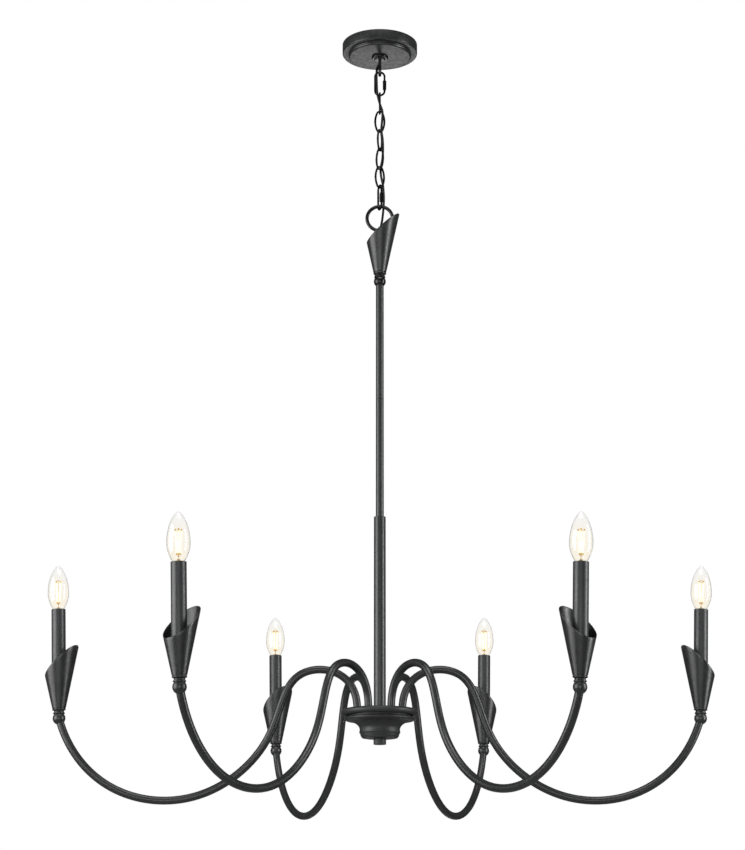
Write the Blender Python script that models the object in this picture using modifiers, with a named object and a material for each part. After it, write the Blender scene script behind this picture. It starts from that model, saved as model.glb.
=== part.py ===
"""A six-arm chandelier that hangs on a chain, built piece by piece.

Frame: metres, +Z up. The origin is the point where the fixture's axis meets the ceiling, which is also
the middle of the canopy's top edge, so everything hangs at negative Z. +X is to the right and -Y to the
front. The arms are named for where they reach: left, right, front_left, front_right, rear_left, rear_right.
"""

import math

import bmesh
import bpy
import numpy as np
from mathutils import Matrix, Vector

GAP = 0.0003  # clearance between pieces that touch
SHEET = 0.0012  # wall of the pressed and rolled sheet pieces

# Ceiling plate, canopy and collar
CROSSBAR_LENGTH, CROSSBAR_WIDTH, CROSSBAR_THICKNESS = 0.096, 0.025, 0.003
CROSSBAR_SLOT_X, CROSSBAR_SLOT_LENGTH, CROSSBAR_SLOT_WIDTH = 0.034, 0.014, 0.0045
NIPPLE_RADIUS, NIPPLE_BORE, NIPPLE_END_Z = 0.0048, 0.0033, -0.0245
CANOPY_RADIUS, CANOPY_WALL_HEIGHT = 0.0658, 0.0180
CANOPY_STEP_RADIUS, CANOPY_DISC_RADIUS, CANOPY_DEPTH = 0.0548, 0.0520, 0.0236
BARREL_RADIUS, BARREL_TOP_Z, BARREL_BOTTOM_Z = 0.0098, -0.0120, -0.0293
NUT_RADIUS, NUT_HEIGHT = 0.0147, 0.0032
LOOP_WIRE, LOOP_HALF_WIDTH, LOOP_BOTTOM_Z = 0.00275, 0.0068, -0.05675

# Chain. Lengths and widths are of a link's centre line; a link stands in the vertical plane at its yaw.
CHAIN_WIRE = 0.0018
QUICK_LINK_LENGTH, QUICK_LINK_HALF_WIDTH, QUICK_LINK_YAWS = 0.0437, 0.0083, (0.0, -70.0)
QUICK_LINK_GAP_TOP, QUICK_LINK_GAP_BOTTOM = -0.0268, -0.0318
SLEEVE_TOP, SLEEVE_LENGTH, SLEEVE_RADIUS = -0.0160, 0.0172, 0.0036
LINK_LENGTH, LINK_HALF_WIDTH, LINK_END_RADIUS = 0.0384, 0.0080, 0.0050
LINK_YAWS = (90.0, 0.0, 64.0, -44.0, 24.0)
RING_RADIUS, RING_WIRE = 0.0220, 0.0030

# Downrods and column
TOP_BALL_Z = -0.4393
ROD_RADIUS, ROD_BORE, ROD_SEAM_Z = 0.0067, 0.0052, -0.6484
COLUMN_RADIUS, COLUMN_BORE, COLUMN_TOP_Z = 0.0098, 0.0071, -0.8503
ROD_IN_COLUMN, STUB_RADIUS, STUB_BORE, STUB_LENGTH = 0.020, 0.0048, 0.0030, 0.012

# Hub
HUB_Z = -1.1690  # top face of the hub plate
PLATE_RADIUS, PLATE_THICKNESS, PLATE_SKIN = 0.0629, 0.0100, 0.0025
FOOT_CIRCLE, FOOT_DEPTH = 0.0366, 0.0150
FINIAL_RADIUS, FINIAL_TOP, FINIAL_BOTTOM, FINIAL_STEM = 0.0102, -0.0478, -0.0565, 0.0030

# Arms: the tube's centre line is a cubic B-spline in the arm's own vertical plane, from the hub to the ball.
ARM_RADIUS, ARM_WALL = 0.00635, 0.0012
ARM_GUIDE = ((0.0, 0.0), (0.0, 0.0637), (0.1217, 0.0850), (0.1241, -0.0530),
             (0.2465, -0.1583), (0.4021, -0.1455), (0.4670, -0.0674), (0.4825, -0.0179))
ARM_ARCH_END, ARM_ARCH_STATIONS, ARM_STATIONS = 0.3, 8, 19  # closer together round the tight arch
ARM_END_SETBACK = 0.003  # how far the tube stops short of the ball's centre
ARM_STRAIGHT_END = 0.015  # the last stretch into the ball is straight
CANDLE_LEAN = 2.98  # degrees outward
ARMS = {  # name: angle of its foot on the hub, direction it reaches, lift of its end, turn of its cup, degrees
    "right": (0.0, 0.0, 0.42, 14.0), "left": (180.0, 180.0, 0.42, -14.0),
    "front_right": (-60.0, -56.85, 0.0, 10.0), "front_left": (-120.0, -123.15, 0.0, -10.0),
    "rear_right": (60.0, 68.90, -0.42, -26.0), "rear_left": (120.0, 111.10, -0.42, 26.0),
}

# Candle: heights above the centre of the coupling's ball, along the candle's own axis
BALL_RADIUS = 0.0103
NECK_RADIUS, NECK_TOP = 0.0080, 0.0125
CUP_FLOOR, CUP_BASE_RADIUS, CUP_CONE_FOOT, CUP_SLOPE = 0.0128, 0.0110, 0.0165, 0.216
CANDLE_CUP_RIM, TOP_CUP_RIM = (0.0873, 0.89), (0.0905, 0.92)  # a slanted plane: height on the axis, and slope
CUP_STEPS = 14
STEM_RADIUS, STEM_TOP = 0.0035, 0.0200
CANDLE_RADIUS, CANDLE_BORE, CANDLE_BOTTOM, CANDLE_TOP = 0.0115, 0.0105, 0.0272, 0.1780
HOLDER_RADIUS, HOLDER_BORE, HOLDER_BOTTOM, HOLDER_TOP = 0.0088, 0.0066, 0.1500, 0.1725
BULB_BOTTOM, BULB_TOP = 0.1560, 0.2504

# Supply cord: radius and its route as (x, y, z), down through the nipple, beside the links and into the cup
CORD_RADIUS = 0.0020
CORD_ROUTE = (
    (0.0000, 0.0000, -0.0060), (0.0000, 0.0000, -0.0200), (-0.0003, 0.0000, -0.0330),
    (-0.0035, -0.0010, -0.0420), (-0.0056, -0.0046, -0.0530), (-0.0054, -0.0048, -0.0740),
    (-0.0044, -0.0044, -0.0936), (-0.0005, -0.0020, -0.1105), (0.0045, -0.0043, -0.1281),
    (0.0040, -0.0050, -0.1450), (0.0028, -0.0046, -0.1626), (0.0050, -0.0024, -0.1800),
    (0.0056, 0.0010, -0.1971), (0.0044, 0.0040, -0.2140), (0.0014, 0.0054, -0.2316),
    (0.0026, 0.0012, -0.2485), (0.0056, -0.0028, -0.2661), (0.0070, 0.0022, -0.2860),
    (0.0062, 0.0064, -0.3052), (0.0042, 0.0074, -0.3240), (0.0002, 0.0072, -0.3480),
    (-0.0004, 0.0068, -0.3760), (0.0000, 0.0064, -0.4080),
)
CORD_STATIONS = 44

PARTS = "multi_arm_chandelier"
CUTTERS = "cutters"


def clear_scene():
    for obj in list(bpy.data.objects):
        bpy.data.objects.remove(obj, do_unlink=True)
    for title in (PARTS, CUTTERS):
        group = bpy.data.collections.new(title)
        bpy.context.scene.collection.children.link(group)


def make_material(title, colour, roughness, metallic, transmission=0.0):
    material = bpy.data.materials.new(title)
    material.use_nodes = True
    shader = material.node_tree.nodes["Principled BSDF"]
    shader.inputs["Base Color"].default_value = (*colour, 1.0)
    shader.inputs["Roughness"].default_value = roughness
    shader.inputs["Metallic"].default_value = metallic
    shader.inputs["Transmission Weight"].default_value = transmission
    return material


def place(name, data, finish, parent=None, collection=PARTS):
    """Link an object for the given mesh or curve, with its finish, under an optional parent."""
    obj = bpy.data.objects.new(name, data)
    bpy.data.collections[collection].objects.link(obj)
    if finish and not data.materials:
        data.materials.append(make_material(name, *finish))
    obj.parent = parent
    return obj


def empty(name, parent=None, location=(0, 0, 0), rotation=(0, 0, 0)):
    obj = bpy.data.objects.new(name, None)
    bpy.data.collections[PARTS].objects.link(obj)
    obj.parent = parent
    obj.location = location
    obj.rotation_euler = [math.radians(angle) for angle in rotation]
    return obj


def arc(centre, radius, start, end, steps):
    """Points of an arc in (radius, height), angles in degrees from +X towards +Z."""
    angles = np.radians(np.linspace(start, end, steps + 1))
    return [(centre[0] + radius * math.cos(a), centre[1] + radius * math.sin(a)) for a in angles]


def outline_mesh(name, outline, closed):
    mesh = bpy.data.meshes.new(name)
    count = len(outline)
    edges = [(i, (i + 1) % count) for i in range(count if closed else count - 1)]
    mesh.from_pydata([(radius, 0.0, height) for radius, height in outline], edges, [])
    return mesh


def turned(name, outline, finish, steps, closed=False, parent=None, wall=0.0, collection=PARTS):
    """Turn an outline about Z. It runs down the outer side; a closed one is a ring, a walled one a shell."""
    obj = place(name, outline_mesh(name, outline, closed), finish, parent, collection)
    screw = obj.modifiers.new("turn", "SCREW")
    screw.axis = "Z"
    screw.angle = math.tau
    screw.steps = steps
    screw.render_steps = steps
    screw.use_merge_vertices = True
    screw.merge_threshold = 0.00005
    screw.use_smooth_shade = True
    if wall:
        shell = obj.modifiers.new("wall", "SOLIDIFY")
        shell.thickness = wall
        shell.offset = -1.0
        shell.use_even_offset = True
    return obj


def tube_outline(outer, bore, top, bottom):
    return [(outer, top), (outer, bottom), (bore, bottom), (bore, top)]


def wire(name, points, radius, finish, cyclic=False, sides=8, caps=True, parent=None):
    """A round wire or tube along a polyline."""
    curve = bpy.data.curves.new(name, "CURVE")
    curve.dimensions = "3D"
    curve.bevel_depth = radius
    curve.bevel_resolution = (sides - 4) // 2
    curve.use_fill_caps = caps
    spline = curve.splines.new("POLY")
    spline.points.add(len(points) - 1)
    for point, position in zip(spline.points, points):
        point.co = (*position, 1.0)
    spline.use_cyclic_u = cyclic
    spline.use_smooth = True
    return place(name, curve, finish, parent)


def as_mesh(obj):
    """Replace an object by its evaluated mesh, with a curve's caps welded on."""
    bpy.context.view_layer.update()
    evaluated = obj.evaluated_get(bpy.context.evaluated_depsgraph_get())
    mesh = bpy.data.meshes.new_from_object(evaluated)
    welded = bmesh.new()
    welded.from_mesh(mesh)
    bmesh.ops.remove_doubles(welded, verts=welded.verts, dist=0.00001)
    welded.to_mesh(mesh)
    welded.free()
    name, parent, matrix, collection = obj.name, obj.parent, obj.matrix_local.copy(), obj.users_collection[0]
    bpy.data.objects.remove(obj, do_unlink=True)
    mesh.name = name
    result = bpy.data.objects.new(name, mesh)
    collection.objects.link(result)
    result.parent = parent
    result.matrix_local = matrix
    return result


def cylinder_cutter(name, radius, start, end, segments=12):
    """A cylinder between two points, for cutting."""
    start, end = Vector(start), Vector(end)
    mesh = bpy.data.meshes.new(name)
    shape = bmesh.new()
    bmesh.ops.create_cone(shape, cap_ends=True, segments=segments, radius1=radius, radius2=radius,
                          depth=(end - start).length)
    shape.to_mesh(mesh)
    shape.free()
    cutter = place(name, mesh, None, collection=CUTTERS)
    turn = (end - start).to_track_quat("Z", "Y").to_matrix().to_4x4()
    cutter.matrix_world = Matrix.Translation((start + end) / 2) @ turn
    return cutter


def combine(obj, tool, operation):
    """Boolean an object with a tool, which is kept as a hidden guide."""
    tool.hide_render = True
    tool.display_type = "WIRE"
    step = obj.modifiers.new(tool.name, "BOOLEAN")
    step.operation = operation
    step.solver = "EXACT"
    step.object = tool


def move_to_cutters(obj):
    bpy.data.collections[PARTS].objects.unlink(obj)
    bpy.data.collections[CUTTERS].objects.link(obj)


# Finishes: base colour, roughness, metallic
BLACK_STEEL = ((0.045, 0.046, 0.048), 0.55, 0.35)
GLOSSY_BLACK = ((0.020, 0.020, 0.022), 0.32, 0.45)
ZINC = ((0.55, 0.55, 0.56), 0.40, 1.0)
BLACK_SLEEVE = ((0.040, 0.041, 0.043), 0.60, 0.0)
BLACK_RESIN = ((0.025, 0.025, 0.025), 0.50, 0.0)
CORD_JACKET = ((0.022, 0.022, 0.022), 0.55, 0.0)
CLEAR_GLASS = ((1.0, 0.93, 0.80), 0.03, 0.0, 0.9)


def ceiling_mount():
    bar_mesh = bpy.data.meshes.new("ceiling_crossbar")
    shape = bmesh.new()
    bmesh.ops.create_cube(shape, size=1.0)
    bmesh.ops.scale(shape, vec=(CROSSBAR_LENGTH, CROSSBAR_WIDTH, CROSSBAR_THICKNESS), verts=shape.verts)
    shape.to_mesh(bar_mesh)
    shape.free()
    crossbar = place("ceiling_crossbar", bar_mesh, ZINC)
    crossbar.location.z = -CROSSBAR_THICKNESS / 2
    deep = CROSSBAR_THICKNESS * 2
    combine(crossbar, cylinder_cutter("crossbar_hole", NIPPLE_RADIUS + GAP, (0, 0, -deep), (0, 0, deep)),
            "DIFFERENCE")
    for side in (-1, 1):
        slot_mesh = bpy.data.meshes.new("crossbar_slot")
        shape = bmesh.new()
        bmesh.ops.create_cube(shape, size=1.0)
        bmesh.ops.scale(shape, vec=(CROSSBAR_SLOT_LENGTH, CROSSBAR_SLOT_WIDTH, deep), verts=shape.verts)
        shape.to_mesh(slot_mesh)
        shape.free()
        slot = place(f"crossbar_slot_{'left' if side < 0 else 'right'}", slot_mesh, None, collection=CUTTERS)
        slot.location.x = side * CROSSBAR_SLOT_X
        combine(crossbar, slot, "DIFFERENCE")

    turned("mounting_nipple", tube_outline(NIPPLE_RADIUS, NIPPLE_BORE, -GAP, NIPPLE_END_Z), ZINC, 12,
           closed=True)


def canopy_and_collar():
    fillet = CANOPY_STEP_RADIUS - CANOPY_DISC_RADIUS
    edge = 0.0015
    outline = [(CANOPY_RADIUS, 0.0)]
    outline += arc((CANOPY_RADIUS - edge, -CANOPY_WALL_HEIGHT + edge), edge, 0, -90, 1)
    outline += [(CANOPY_STEP_RADIUS, -CANOPY_WALL_HEIGHT)]
    outline += arc((CANOPY_DISC_RADIUS, -CANOPY_DEPTH + fillet), fillet, 0, -90, 2)
    outline += [(BARREL_RADIUS + 0.0008, -CANOPY_DEPTH)]
    turned("canopy", outline, BLACK_STEEL, 24, wall=SHEET)

    top = -CANOPY_DEPTH - GAP
    inner = BARREL_RADIUS + GAP
    nut = [(NUT_RADIUS - 0.0004, top), (NUT_RADIUS, top - 0.0006)]
    nut += arc((NUT_RADIUS - 0.0022, top - NUT_HEIGHT + 0.0022), 0.0022, 0, -90, 2)
    nut += [(inner, top - NUT_HEIGHT), (inner, top)]
    turned("collar_nut", nut, GLOSSY_BLACK, 18, closed=True)

    bore = NIPPLE_RADIUS + GAP
    cord_hole = CORD_RADIUS + 0.0005
    shoulder = NIPPLE_END_Z - GAP
    barrel = [(BARREL_RADIUS, BARREL_TOP_Z), (BARREL_RADIUS, BARREL_BOTTOM_Z + 0.0015),
              (BARREL_RADIUS - 0.0015, BARREL_BOTTOM_Z), (cord_hole, BARREL_BOTTOM_Z), (cord_hole, shoulder),
              (bore, shoulder), (bore, BARREL_TOP_Z)]
    collar_loop = turned("collar_loop", barrel, GLOSSY_BLACK, 14, closed=True)
    top_of_legs = BARREL_BOTTOM_Z + 0.0020
    bend = arc((0, LOOP_BOTTOM_Z + LOOP_HALF_WIDTH), LOOP_HALF_WIDTH, 0, -180, 6)
    legs = [(LOOP_HALF_WIDTH, top_of_legs)] + bend + [(-LOOP_HALF_WIDTH, top_of_legs)]
    loop = as_mesh(wire("collar_loop_wire", [(0, y, z) for y, z in legs], LOOP_WIRE, None))
    move_to_cutters(loop)
    combine(collar_loop, loop, "UNION")


def link_points(steps):
    """Half a link's centre line as (x, z): pointed oval of two end arcs and two shallow side arcs."""
    reach = LINK_LENGTH / 2 - LINK_END_RADIUS
    end, half = LINK_END_RADIUS, LINK_HALF_WIDTH
    side = (half ** 2 + reach ** 2 - end ** 2) / (2 * (half - end))
    lean = math.degrees(math.atan2(reach, side - half))
    top = arc((0, reach), end, 90, lean, steps)
    flank = arc((half - side, 0), side, lean, -lean, steps)
    bottom = arc((0, -reach), end, -lean, -90, steps)
    right = top + flank[1:-1] + bottom
    left = [(-x, z) for x, z in reversed(right[1:-1])]
    return right + left


def quick_link_points():
    """An oval quick link's centre line as (x, z) from its top, open where the sleeve closes it."""
    half, length = QUICK_LINK_HALF_WIDTH, QUICK_LINK_LENGTH
    low = -length + half
    right_top = [(half, QUICK_LINK_GAP_TOP)] + arc((0, -half), half, 0, 90, 4)
    left = arc((0, -half), half, 90, 180, 4)[1:] + arc((0, low), half, 180, 270, 4)
    return right_top + left + arc((0, low), half, -90, 0, 4)[1:] + [(half, QUICK_LINK_GAP_BOTTOM)]


def chain():
    """Hang each link from the one above, and return the height of the last link's bottom wire centre."""
    bottom = LOOP_BOTTOM_Z
    wire_above = LOOP_WIRE
    order = [("upper_quick_link", QUICK_LINK_YAWS[0])]
    order += [(f"chain_link_{i + 1}", yaw) for i, yaw in enumerate(LINK_YAWS)]
    order += [("lower_quick_link", QUICK_LINK_YAWS[1])]
    for name, yaw in order:
        top = bottom + wire_above + CHAIN_WIRE + GAP
        pivot = empty(f"{name}_pivot", location=(0, 0, bottom), rotation=(0, 0, yaw))
        if "quick" in name:
            points = [(x, 0, z + top - bottom) for x, z in quick_link_points()]
            wire(name, points, CHAIN_WIRE, GLOSSY_BLACK, sides=6, parent=pivot)
            sleeve = turned(f"{name}_sleeve", sleeve_outline(), GLOSSY_BLACK, 8, closed=True, parent=pivot)
            sleeve.location = (QUICK_LINK_HALF_WIDTH, 0, top - bottom)
            bottom = top - QUICK_LINK_LENGTH
        else:
            points = [(x, 0, z + top - bottom - LINK_LENGTH / 2) for x, z in link_points(3)]
            wire(name, points, CHAIN_WIRE, GLOSSY_BLACK, cyclic=True, sides=6, parent=pivot)
            bottom = top - LINK_LENGTH
        wire_above = CHAIN_WIRE
    return bottom


def sleeve_outline():
    chamfer = 0.0010
    bore, low = CHAIN_WIRE + GAP, SLEEVE_TOP - SLEEVE_LENGTH
    return [(SLEEVE_RADIUS - chamfer, SLEEVE_TOP), (SLEEVE_RADIUS, SLEEVE_TOP - chamfer),
            (SLEEVE_RADIUS, low + chamfer), (SLEEVE_RADIUS - chamfer, low), (bore, low), (bore, SLEEVE_TOP)]


def hanging_ring(link_bottom):
    """The ring is cast in one with the stem that runs down through the top cup."""
    centre = link_bottom + CHAIN_WIRE + RING_WIRE + GAP - RING_RADIUS
    circle = [(x, 0, z) for x, z in arc((0, centre), RING_RADIUS, 90, 450, 20)[:-1]]
    ring = as_mesh(wire("hanging_ring", circle, RING_WIRE, BLACK_STEEL, cyclic=True))
    stem_top = centre - RING_RADIUS
    stem = cylinder_cutter("ring_stem", 0.0040, (0, 0, TOP_BALL_Z + 0.0040), (0, 0, stem_top))
    combine(ring, stem, "UNION")


def coupling_outline(low, stem_radius, stem_top):
    """The turned ball, flange and neck below a cup, from the stem's top down to the ball's lower end."""
    ball = arc((0, 0), BALL_RADIUS, 34, low, 5)
    upper = [(0, stem_top), (stem_radius, stem_top), (stem_radius, NECK_TOP), (NECK_RADIUS, NECK_TOP),
             (NECK_RADIUS, 0.0100), (0.0093, 0.0088), (0.0096, 0.0074), (0.0088, 0.0066)]
    return upper + ball


def cup_mesh(name, rim_height, rim_rise):
    """A cone of sheet cut by a slanted plane, so its rim rises to a tip on the -X side."""
    height = rim_height - CUP_CONE_FOOT
    rows = 2
    outline = [(CUP_BASE_RADIUS + CUP_SLOPE * height * k / rows, CUP_CONE_FOOT + height * k / rows)
               for k in range(rows, -1, -1)]
    outline += [(CUP_BASE_RADIUS - 0.0006, CUP_CONE_FOOT - 0.0022), (CUP_BASE_RADIUS - 0.0026, CUP_FLOOR),
                (STEM_RADIUS + 0.0010, CUP_FLOOR)]
    cup = as_mesh(turned(name, outline, BLACK_STEEL, CUP_STEPS))
    for vertex in cup.data.vertices:
        above = vertex.co.z - CUP_CONE_FOOT
        if above > 0:
            angle = math.atan2(vertex.co.y, vertex.co.x)
            rim_radius = (CUP_BASE_RADIUS + CUP_SLOPE * height) / (1 + CUP_SLOPE * rim_rise * math.cos(angle))
            risen = above * (rim_radius - CUP_BASE_RADIUS) / CUP_SLOPE / height
            radius = CUP_BASE_RADIUS + CUP_SLOPE * risen
            vertex.co = (radius * math.cos(angle), radius * math.sin(angle), CUP_CONE_FOOT + risen)
    mesh = cup.data
    bpy.data.objects.remove(cup)
    return mesh


def place_cup(name, mesh, parent, turn=0.0):
    cup = place(name, mesh, BLACK_STEEL, parent)
    cup.rotation_euler.z = math.radians(turn)
    shell = cup.modifiers.new("wall", "SOLIDIFY")
    shell.thickness = SHEET
    shell.offset = -1.0
    shell.use_even_offset = True
    return cup


def downrods():
    """The ring's cup and coupling, the two rods and the column, from the top down."""
    ball = empty("top_ball", location=(0, 0, TOP_BALL_Z), rotation=(0, 0, 180))
    place_cup("top_cup", cup_mesh("top_cup_sheet", *TOP_CUP_RIM), ball)
    bore = 0.0040 + GAP
    outline = coupling_outline(-48, bore, NECK_TOP)[2:]
    flat = outline[-1][1]
    outline += [(0.0030, flat), (0.0030, 0.0036), (bore, 0.0036)]
    turned("top_coupling", outline, BLACK_STEEL, 12, closed=True, parent=ball)

    rod_top = TOP_BALL_Z + flat - GAP
    upper = [(ROD_RADIUS, rod_top), (ROD_RADIUS, ROD_SEAM_Z + GAP / 2), (STUB_RADIUS, ROD_SEAM_Z + GAP / 2),
             (STUB_RADIUS, ROD_SEAM_Z - STUB_LENGTH), (STUB_BORE, ROD_SEAM_Z - STUB_LENGTH),
             (STUB_BORE, rod_top)]
    turned("upper_rod", upper, BLACK_STEEL, 14, closed=True)
    lower = tube_outline(ROD_RADIUS, ROD_BORE, ROD_SEAM_Z - GAP / 2, COLUMN_TOP_Z - ROD_IN_COLUMN)
    turned("lower_rod", lower, BLACK_STEEL, 14, closed=True)
    chamfer = 0.0008
    column = [(COLUMN_RADIUS - chamfer, COLUMN_TOP_Z), (COLUMN_RADIUS, COLUMN_TOP_Z - chamfer),
              (COLUMN_RADIUS, HUB_Z + GAP), (COLUMN_BORE, HUB_Z + GAP), (COLUMN_BORE, COLUMN_TOP_Z)]
    turned("column", column, BLACK_STEEL, 18, closed=True)


def hub():
    """The plate that the arms stand in, the bowl below it, and the finial whose screw holds the bowl."""
    middle = empty("hub_centre", location=(0, 0, HUB_Z))
    half = PLATE_THICKNESS / 2
    lip = PLATE_RADIUS - half - 0.0085
    outline = [(0.0040, 0.0)] + arc((PLATE_RADIUS - half, -half), half, 90, -90, 3)
    outline += [(lip, -PLATE_THICKNESS), (lip, -PLATE_SKIN), (0.0040, -PLATE_SKIN)]
    plate = turned("hub_plate", outline, BLACK_STEEL, 24, closed=True, parent=middle)
    for name, (foot_angle, _, _, _) in ARMS.items():
        x, y = foot_position(foot_angle)
        hole = cylinder_cutter(f"foot_hole_{name}", ARM_RADIUS + 0.0006,
                               (x, y, HUB_Z - 0.0060), (x, y, HUB_Z + 0.0020))
        combine(plate, hole, "DIFFERENCE")

    top = -PLATE_THICKNESS - GAP
    bowl = [(0.0510, top), (0.0510, -0.0126), (0.0542, -0.0132), (0.0565, -0.0155), (0.0556, -0.0178)]
    bowl += [(0.0560 - 0.0234 * math.cos(t), -0.0330 + 0.0145 * math.sin(t))
             for t in np.radians((80, 58, 38, 18, 0))]
    bowl += [(0.0333, -0.0385), (0.0318, -0.0404), (0.0308, -0.0430), (0.0294, -0.0452), (0.0248, -0.0467)]
    bowl += [(FINIAL_STEM + 0.0004, FINIAL_TOP + GAP)]
    turned("hub_bowl", bowl, BLACK_STEEL, 20, parent=middle, wall=0.0014)

    chamfer = 0.0007
    finial = [(0, -PLATE_SKIN - GAP), (FINIAL_STEM, -PLATE_SKIN - GAP), (FINIAL_STEM, FINIAL_TOP),
              (FINIAL_RADIUS, FINIAL_TOP), (FINIAL_RADIUS, FINIAL_BOTTOM + chamfer),
              (FINIAL_RADIUS - chamfer, FINIAL_BOTTOM), (0, FINIAL_BOTTOM)]
    turned("finial", finial, BLACK_STEEL, 16, parent=middle)


def foot_position(angle):
    return FOOT_CIRCLE * math.cos(math.radians(angle)), FOOT_CIRCLE * math.sin(math.radians(angle))


def bspline(points, amounts):
    """Points of the clamped uniform cubic B-spline with the given control points, at amounts from 0 to 1."""
    points = np.array(points, float)
    spans = len(points) - 3
    knots = np.concatenate([np.zeros(3), np.linspace(0, 1, spans + 1), np.ones(3)])
    result = []
    for t in amounts:
        k = min(int(t * spans), spans - 1) + 3
        d = [points[j + k - 3] for j in range(4)]
        for level in range(1, 4):
            for j in range(3, level - 1, -1):
                low, high = knots[j + k - 3], knots[j + 1 + k - level]
                d[j] = d[j - 1] + (d[j] - d[j - 1]) * (t - low) / (high - low)
        result.append(d[3])
    return np.array(result)


def arm_centre_line():
    """The tube's centre line in the arm's plane, from inside the hub to just short of the ball's centre."""
    end, before = np.array(ARM_GUIDE[-1]), np.array(ARM_GUIDE[-2])
    end_speed = 3 * (len(ARM_GUIDE) - 3) * np.linalg.norm(end - before)
    sweep = np.linspace(ARM_ARCH_END, 1 - ARM_STRAIGHT_END / end_speed, ARM_STATIONS - ARM_ARCH_STATIONS)
    arch = np.linspace(0, ARM_ARCH_END, ARM_ARCH_STATIONS, endpoint=False)
    amounts = [*arch, *sweep, 1 - ARM_END_SETBACK / end_speed]
    line = [(reach, 0.0, height) for reach, height in bspline(ARM_GUIDE, amounts)]
    return [(0.0, 0.0, -FOOT_DEPTH)] + line


def arm_mesh():
    """The bent tube, hollow for its wires."""
    tube = as_mesh(wire("arm_tube", arm_centre_line(), ARM_RADIUS, None, caps=False))
    shell = tube.modifiers.new("wall", "SOLIDIFY")
    shell.thickness = ARM_WALL
    shell.offset = -1.0
    tube = as_mesh(tube)
    mesh = tube.data
    bpy.data.objects.remove(tube)
    return mesh


def coupling_mesh():
    """The coupling at an arm's end, with a socket in its ball where the tube goes in."""
    coupling = turned("coupling", coupling_outline(-90, STEM_RADIUS, STEM_TOP), None, 10)
    rise = Vector((ARM_GUIDE[-1][0] - ARM_GUIDE[-2][0], 0, ARM_GUIDE[-1][1] - ARM_GUIDE[-2][1])).normalized()
    rise.rotate(Matrix.Rotation(math.radians(-CANDLE_LEAN), 3, "Y"))
    socket = cylinder_cutter("arm_socket", ARM_RADIUS + 0.0006, rise * -(ARM_END_SETBACK - GAP), rise * -0.02)
    combine(coupling, socket, "DIFFERENCE")
    coupling = as_mesh(coupling)
    mesh = coupling.data
    bpy.data.objects.remove(coupling)
    return mesh


def holder_outline():
    """Lamp holder: the hollow cup that the bulb screws into, on its long post."""
    seat = BULB_BOTTOM - GAP - 0.0010
    return [(0, seat), (HOLDER_BORE, seat), (HOLDER_BORE, HOLDER_TOP), (HOLDER_RADIUS, HOLDER_TOP),
            (HOLDER_RADIUS, HOLDER_BOTTOM), (0.0040, HOLDER_BOTTOM - 0.0020), (0.0032, STEM_TOP + GAP),
            (0, STEM_TOP + GAP)]


def bulb_outline():
    """Clear candle lamp, from its tip down to the contact of its screw base."""
    widest, radius = 0.2050, 0.0173
    upper = [(radius * math.cos(a) ** 1.3, widest + (BULB_TOP - widest) * math.sin(a))
             for a in np.linspace(math.pi / 2, 0, 5)[1:]]
    lower = [(0.0162, 0.1935), (0.0128, 0.1850), (0.0091, 0.1780), (0.0070, 0.1757)]
    base = [(0.0059, 0.1745), (0.0059, BULB_BOTTOM + 0.0025), (0.0030, BULB_BOTTOM), (0, BULB_BOTTOM)]
    return [(0, BULB_TOP)] + upper + lower + base


def arms():
    tube, coupling, cup = arm_mesh(), coupling_mesh(), cup_mesh("candle_cup_sheet", *CANDLE_CUP_RIM)
    reach, height = ARM_GUIDE[-1]
    holder = holder_outline()
    for name, (foot_angle, direction, lift, cup_turn) in ARMS.items():
        swivel = empty(f"arm_{name}_swivel", location=(*foot_position(foot_angle), HUB_Z),
                       rotation=(0, -lift, direction))
        place(f"arm_{name}", tube, BLACK_STEEL, swivel)
        seat = empty(f"candle_seat_{name}", swivel, (reach, 0, height), (0, CANDLE_LEAN, 0))
        place(f"coupling_{name}", coupling, BLACK_STEEL, seat)
        place_cup(f"cup_{name}", cup, seat, cup_turn)
        sleeve = tube_outline(CANDLE_RADIUS, CANDLE_BORE, CANDLE_TOP, CANDLE_BOTTOM)
        turned(f"candle_sleeve_{name}", sleeve, BLACK_SLEEVE, 12, closed=True, parent=seat)
        turned(f"lamp_holder_{name}", holder, BLACK_RESIN, 10, parent=seat)
        turned(f"bulb_{name}", bulb_outline(), CLEAR_GLASS, 10, parent=seat)


def smooth_route(route, count):
    """A Catmull-Rom curve through the route's points, sampled evenly by length."""
    points = np.array(route, float)
    padded = np.vstack([2 * points[0] - points[1], points, 2 * points[-1] - points[-2]])
    dense = []
    for p0, p1, p2, p3 in zip(padded, padded[1:], padded[2:], padded[3:]):
        for t in np.linspace(0, 1, 12, endpoint=False):
            dense.append(0.5 * (2 * p1 + (p2 - p0) * t + (2 * p0 - 5 * p1 + 4 * p2 - p3) * t ** 2
                                + (3 * p1 - p0 - 3 * p2 + p3) * t ** 3))
    dense = np.array(dense + [points[-1]])
    run = np.concatenate([[0], np.cumsum(np.linalg.norm(np.diff(dense, axis=0), axis=1))])
    even = np.linspace(0, run[-1], count)
    return [tuple(np.interp(s, run, dense[:, axis]) for axis in range(3)) for s in even]


def supply_cord():
    wire("supply_cord", smooth_route(CORD_ROUTE, CORD_STATIONS), CORD_RADIUS, CORD_JACKET, sides=8)


def main():
    clear_scene()
    ceiling_mount()
    canopy_and_collar()
    link_bottom = chain()
    hanging_ring(link_bottom)
    downrods()
    hub()
    arms()
    supply_cord()


main()
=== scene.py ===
import math

import bpy
import numpy as np
from mathutils import Matrix, Vector


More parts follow.
